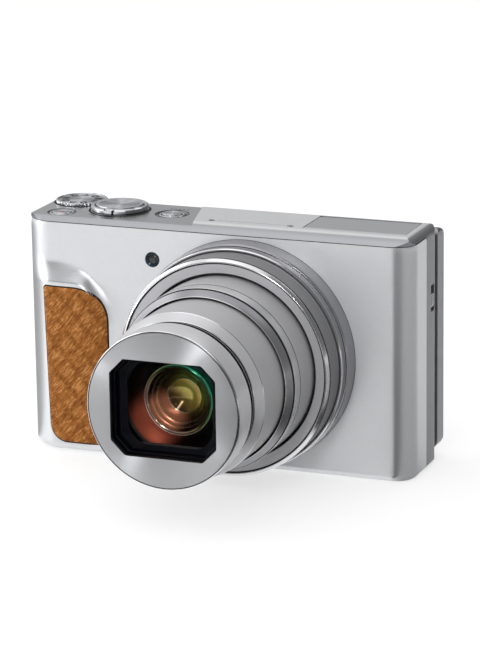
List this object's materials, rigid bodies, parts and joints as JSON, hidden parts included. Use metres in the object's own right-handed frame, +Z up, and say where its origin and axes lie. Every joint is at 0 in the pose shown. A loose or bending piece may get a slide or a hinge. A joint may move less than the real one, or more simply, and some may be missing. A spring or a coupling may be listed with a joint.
{
  "type": "compact digital camera",
  "caption": "Slim silver zoom camera with a nested telescoping lens, leather grip, tilting rear screen, pop-up flash, dials, buttons and doors.",
  "frame": {"origin": "in the middle of the flat bottom face of the body", "axes": "+X to the right as seen from the front, -Y the way the lens looks, +Z up"},
  "size_m": [0.1101, 0.0864, 0.0664],
  "materials": {
    "silver_shell": "satin silver paint on moulded shells",
    "grip_leather": "tan synthetic leather with a pressed diamond pattern",
    "lamp_glass": "smoked clear window",
    "turned_metal": "satin silver lacquer on moulded barrels",
    "cap_metal": "spun aluminium with cut edges",
    "black_plastic": "flocked matt black",
    "frame_steel": "stamped steel",
    "sensor_glass": "coated cover glass",
    "board_green": "green solder mask",
    "battery_case": "dark wrapped cell",
    "card_blue": "blue moulded card",
    "contact_gold": "gold flash",
    "capacitor_black": "black sleeve",
    "front_glass": "multi-coated glass",
    "blade_black": "matt black leaf",
    "gear_plastic": "natural acetal",
    "flash_plastic": "ribbed diffuser",
    "key_silver": "satin silver paint",
    "screen_case": "satin silver paint",
    "screen_glass": "gloss black cover"
  },
  "bodies": {
    "camera_body": {"front_shell": "silver_shell", "rear_shell": "silver_shell", "top_cover": "silver_shell", "grip_pad": "grip_leather", "lamp_window": "lamp_glass", "lens_bezel": "turned_metal", "lens_housing": "black_plastic", "chassis_plate": "frame_steel", "tripod_socket": "frame_steel", "image_sensor": "sensor_glass", "main_board": "board_green", "battery": "battery_case", "memory_card": "card_blue", "battery_tray": "black_plastic", "battery_contacts": "contact_gold", "hdmi_socket": "frame_steel", "usb_socket": "frame_steel", "speaker": "black_plastic", "strap_bar": "frame_steel", "case_screws": "frame_steel", "top_board": "board_green", "rear_board": "board_green", "screen_bracket": "frame_steel", "hinge_pins": "frame_steel", "guide_rods": "frame_steel", "zoom_motor": "frame_steel", "flash_capacitor": "capacitor_black"},
    "large_barrel": {"barrel_1": "turned_metal"},
    "middle_barrel": {"barrel_2": "turned_metal"},
    "small_barrel": {"barrel_3": "turned_metal", "front_cap": "cap_metal", "aperture_frame": "black_plastic", "front_element": "front_glass"},
    "zoom_carriage": {"zoom_group": "black_plastic"},
    "focus_carriage": {"focus_group": "black_plastic"},
    "upper_outer_blade": {"blade_upper_outer": "blade_black"},
    "upper_inner_blade": {"blade_upper_inner": "blade_black"},
    "lower_outer_blade": {"blade_lower_outer": "blade_black"},
    "lower_inner_blade": {"blade_lower_inner": "blade_black"},
    "ring_gear": {"drive_ring": "gear_plastic"},
    "pinion": {"drive_gear": "gear_plastic"},
    "mode_dial": {"mode_dial": "cap_metal"},
    "zoom_lever": {"zoom_lever": "cap_metal"},
    "shutter_button": {"shutter_button": "cap_metal"},
    "power_button": {"power_button": "silver_shell"},
    "movie_button": {"movie_button": "silver_shell"},
    "flash": {"flash_head": "silver_shell", "flash_window": "flash_plastic"},
    "flash_switch": {"flash_switch": "key_silver"},
    "screen": {"screen_case": "screen_case", "screen_pane": "screen_glass"},
    "control_dial": {"control_dial": "key_silver"},
    "set_button": {"set_button": "key_silver"},
    "playback_button": {"playback_button": "key_silver"},
    "menu_button": {"menu_button": "key_silver"},
    "wireless_button": {"wireless_button": "key_silver"},
    "battery_door": {"battery_door": "silver_shell"},
    "door_latch": {"door_latch": "key_silver"},
    "port_door": {"port_door": "silver_shell"}
  },
  "joints": [
    {"name": "large_barrel_slide", "type": "slide", "parent": "camera_body", "child": "large_barrel", "axis": [0, 1, 0], "range_m": [0, 0.0075]},
    {"name": "middle_barrel_slide", "type": "slide", "parent": "large_barrel", "child": "middle_barrel", "axis": [0, 1, 0], "range_m": [0, 0.01312]},
    {"name": "small_barrel_slide", "type": "slide", "parent": "middle_barrel", "child": "small_barrel", "axis": [0, 1, 0], "range_m": [0, 0.02592]},
    {"name": "zoom_carriage_slide", "type": "slide", "parent": "camera_body", "child": "zoom_carriage", "axis": [0, 1, 0], "range_m": [0, 0.00322]},
    {"name": "focus_slide", "type": "slide", "parent": "camera_body", "child": "focus_carriage", "axis": [0, 1, 0], "range_m": [-0.0008, 0.0015]},
    {"name": "barrier_slide", "type": "slide", "parent": "small_barrel", "child": "upper_inner_blade", "axis": [0, 0, -1], "range_m": [0, 0.0105]},
    {"name": "upper_outer_slide", "type": "slide", "parent": "small_barrel", "child": "upper_outer_blade", "axis": [0, 0, -1], "range_m": [0, 0.0053]},
    {"name": "lower_inner_slide", "type": "slide", "parent": "small_barrel", "child": "lower_inner_blade", "axis": [0, 0, 1], "range_m": [0, 0.01051]},
    {"name": "lower_outer_slide", "type": "slide", "parent": "small_barrel", "child": "lower_outer_blade", "axis": [0, 0, 1], "range_m": [0, 0.0053]},
    {"name": "ring_gear_turn", "type": "hinge", "parent": "camera_body", "child": "ring_gear", "pos_m": [0.0094, 0.0046, 0.0319], "axis": [0, 1, 0], "range_deg": [0, 61]},
    {"name": "pinion_turn", "type": "hinge", "parent": "camera_body", "child": "pinion", "pos_m": [0.03854, 0.002, 0.04872], "axis": [0, 1, 0], "range_deg": [-318, 0]},
    {"name": "mode_dial_turn", "type": "hinge", "parent": "camera_body", "child": "mode_dial", "pos_m": [-0.0457, 0.0078, 0.0645], "axis": [0, 0, 1], "continuous": true},
    {"name": "zoom_lever_turn", "type": "hinge", "parent": "camera_body", "child": "zoom_lever", "pos_m": [-0.0317, 0.0016, 0.0645], "axis": [0, 0, 1], "range_deg": [-22, 22], "stiffness_Nm_per_rad": 0.02},
    {"name": "shutter_press", "type": "slide", "parent": "camera_body", "child": "shutter_button", "axis": [0, 0, -1], "range_m": [0, 0.0006], "stiffness_N_per_m": 900},
    {"name": "power_press", "type": "slide", "parent": "camera_body", "child": "power_button", "axis": [0, 0, -1], "range_m": [0, 0.0004], "stiffness_N_per_m": 700},
    {"name": "movie_press", "type": "slide", "parent": "camera_body", "child": "movie_button", "axis": [0, 0, -1], "range_m": [0, 0.0004], "stiffness_N_per_m": 700},
    {"name": "flash_lift", "type": "hinge", "parent": "camera_body", "child": "flash", "pos_m": [0.0372, 0.0078, 0.06405], "axis": [-1, 0, 0], "range_deg": [0, 50]},
    {"name": "flash_switch_slide", "type": "slide", "parent": "camera_body", "child": "flash_switch", "axis": [0, 0, 1], "range_m": [0, 0.0016], "stiffness_N_per_m": 300},
    {"name": "screen_tilt", "type": "hinge", "parent": "camera_body", "child": "screen", "pos_m": [0.015, 0.0148, 0.0602], "axis": [1, 0, 0], "range_deg": [0, 180]},
    {"name": "control_dial_turn", "type": "hinge", "parent": "camera_body", "child": "control_dial", "pos_m": [-0.038, 0.012, 0.027], "axis": [0, 1, 0], "continuous": true},
    {"name": "set_press", "type": "slide", "parent": "camera_body", "child": "set_button", "axis": [0, -1, 0], "range_m": [0, 0.0004], "stiffness_N_per_m": 700},
    {"name": "playback_press", "type": "slide", "parent": "camera_body", "child": "playback_button", "axis": [0, -1, 0], "range_m": [0, 0.00045], "stiffness_N_per_m": 700},
    {"name": "menu_press", "type": "slide", "parent": "camera_body", "child": "menu_button", "axis": [0, -1, 0], "range_m": [0, 0.00045], "stiffness_N_per_m": 700},
    {"name": "wireless_press", "type": "slide", "parent": "camera_body", "child": "wireless_button", "axis": [0, -1, 0], "range_m": [0, 0.00045], "stiffness_N_per_m": 700},
    {"name": "battery_door_swing", "type": "hinge", "parent": "camera_body", "child": "battery_door", "pos_m": [-0.0378, 0.0065, 0.00075], "axis": [1, 0, 0], "range_deg": [0, 95]},
    {"name": "door_latch_slide", "type": "slide", "parent": "battery_door", "child": "door_latch", "axis": [1, 0, 0], "range_m": [0, 0.0024]},
    {"name": "port_door_swing", "type": "hinge", "parent": "camera_body", "child": "port_door", "pos_m": [-0.05445, -0.0029, 0.0533], "axis": [0, 0, 1], "range_deg": [0, 100]}
  ],
  "couplings": [
    {"joint": "middle_barrel_slide", "follows": "large_barrel_slide", "ratio": 1.7467},
    {"joint": "small_barrel_slide", "follows": "large_barrel_slide", "ratio": 3.4533},
    {"joint": "zoom_carriage_slide", "follows": "large_barrel_slide", "ratio": 0.42667},
    {"joint": "ring_gear_turn", "follows": "large_barrel_slide", "rad_per_m": 139.63},
    {"joint": "pinion_turn", "follows": "large_barrel_slide", "rad_per_m": -729.16},
    {"joint": "upper_outer_slide", "follows": "barrier_slide", "ratio": 0.5},
    {"joint": "lower_inner_slide", "follows": "barrier_slide", "ratio": 1},
    {"joint": "lower_outer_slide", "follows": "barrier_slide", "ratio": 0.5}
  ]
}
